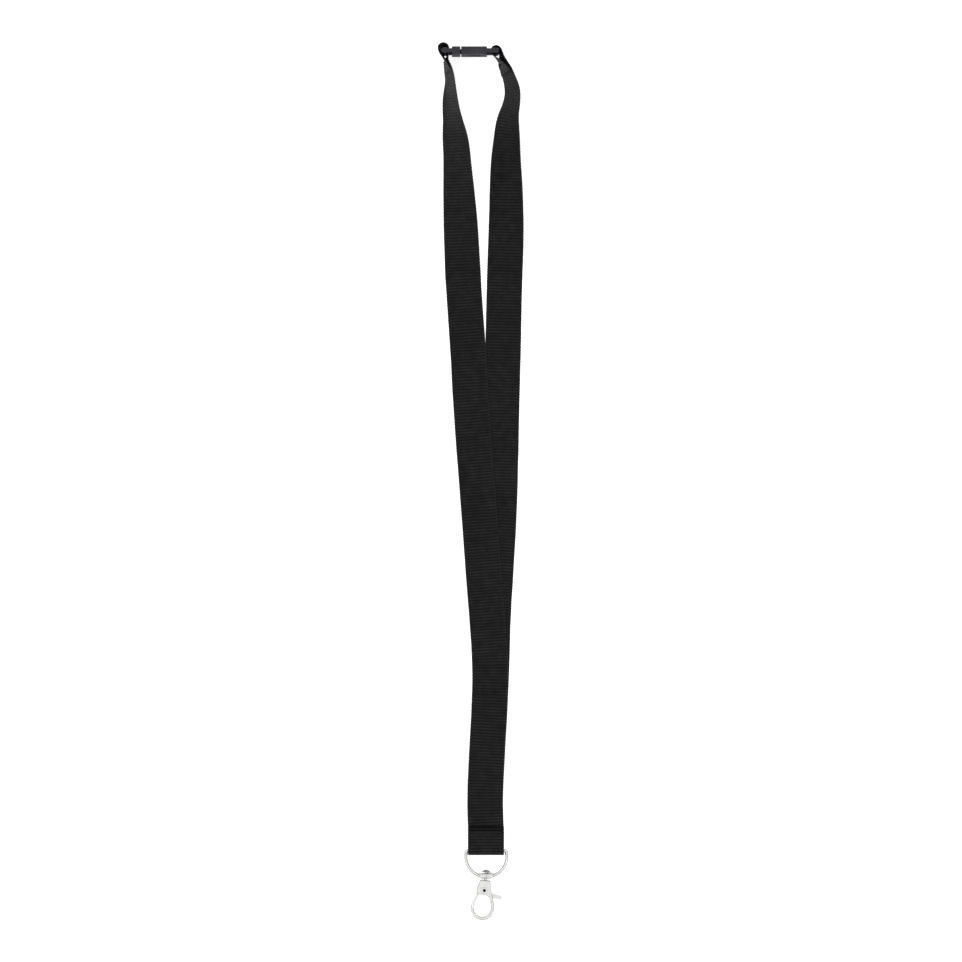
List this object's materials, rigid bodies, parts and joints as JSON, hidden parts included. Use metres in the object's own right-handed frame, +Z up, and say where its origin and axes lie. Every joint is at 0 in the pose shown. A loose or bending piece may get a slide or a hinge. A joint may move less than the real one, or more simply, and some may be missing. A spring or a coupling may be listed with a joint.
{
  "type": "ribbon lanyard",
  "caption": "Flat neck lanyard of ribbed ribbon with a breakaway buckle, a D-ring and a swivelling trigger hook.",
  "frame": {"origin": "under the middle of the whole object, on the surface that it lies on", "axes": "+Y along the lanyard from the hook to the breakaway buckle, +X across it to the right as seen from above, +Z up, away from the surface"},
  "size_m": [0.0479, 0.4923, 0.024],
  "materials": {
    "ribbon": "matt cross-ribbed polyester grosgrain",
    "thread": "twisted polyester sewing thread",
    "buckle_plastic": "semi-gloss moulded acetal",
    "nickel": "bright nickel plate",
    "rivet_nickel": "bright nickel plate over brass",
    "spring_steel": "drawn spring wire"
  },
  "bodies": {
    "strap": {"left_ribbon_upper_twist": "ribbon", "left_ribbon_lower_twist": "ribbon", "left_ribbon_upper_leg": "ribbon", "left_ribbon_leg": "ribbon", "left_ribbon_lower_leg": "ribbon", "left_ribbon_fold": "ribbon", "right_ribbon_loop": "ribbon", "right_ribbon_upper_twist": "ribbon", "right_ribbon_lower_twist": "ribbon", "right_ribbon_upper_leg": "ribbon", "right_ribbon_leg": "ribbon", "right_ribbon_lower_leg": "ribbon", "right_ribbon_fold": "ribbon", "right_loop_stitching": "thread", "bottom_stitching": "thread", "buckle_female": "buckle_plastic"},
    "male_half": {"buckle_male": "buckle_plastic", "left_ribbon_loop": "ribbon", "left_loop_stitching": "thread"},
    "ring": {"d_ring": "nickel"},
    "post": {"swivel_post": "nickel"},
    "hook": {"hook_body": "nickel", "pivot_rivet": "rivet_nickel", "trigger_spring": "spring_steel"},
    "lever": {"trigger_lever": "nickel"}
  },
  "joints": [
    {"name": "breakaway", "type": "slide", "parent": "strap", "child": "male_half", "axis": [-1, 0, 0], "range_m": [0, 0.012]},
    {"name": "ring_pivot", "type": "hinge", "parent": "strap", "child": "ring", "pos_m": [0.003, -0.20775, 0.0033], "axis": [1, 0, 0], "range_deg": [-135, 135]},
    {"name": "post_wobble", "type": "hinge", "parent": "ring", "child": "post", "pos_m": [0.0028, -0.22208, 0.0033], "axis": [0, 0, 1], "range_deg": [-0.5, 13.5]},
    {"name": "hook_swivel", "type": "hinge", "parent": "post", "child": "hook", "pos_m": [0.0028, -0.22208, 0.0033], "axis": [-0.1132, -0.9936, 0], "continuous": true},
    {"name": "trigger", "type": "hinge", "parent": "hook", "child": "lever", "pos_m": [0.00189, -0.23003, 0.0033], "axis": [0, 0, 1], "range_deg": [0, 25], "stiffness_Nm_per_rad": 0.02, "springref_deg": -28.65}
  ]
}
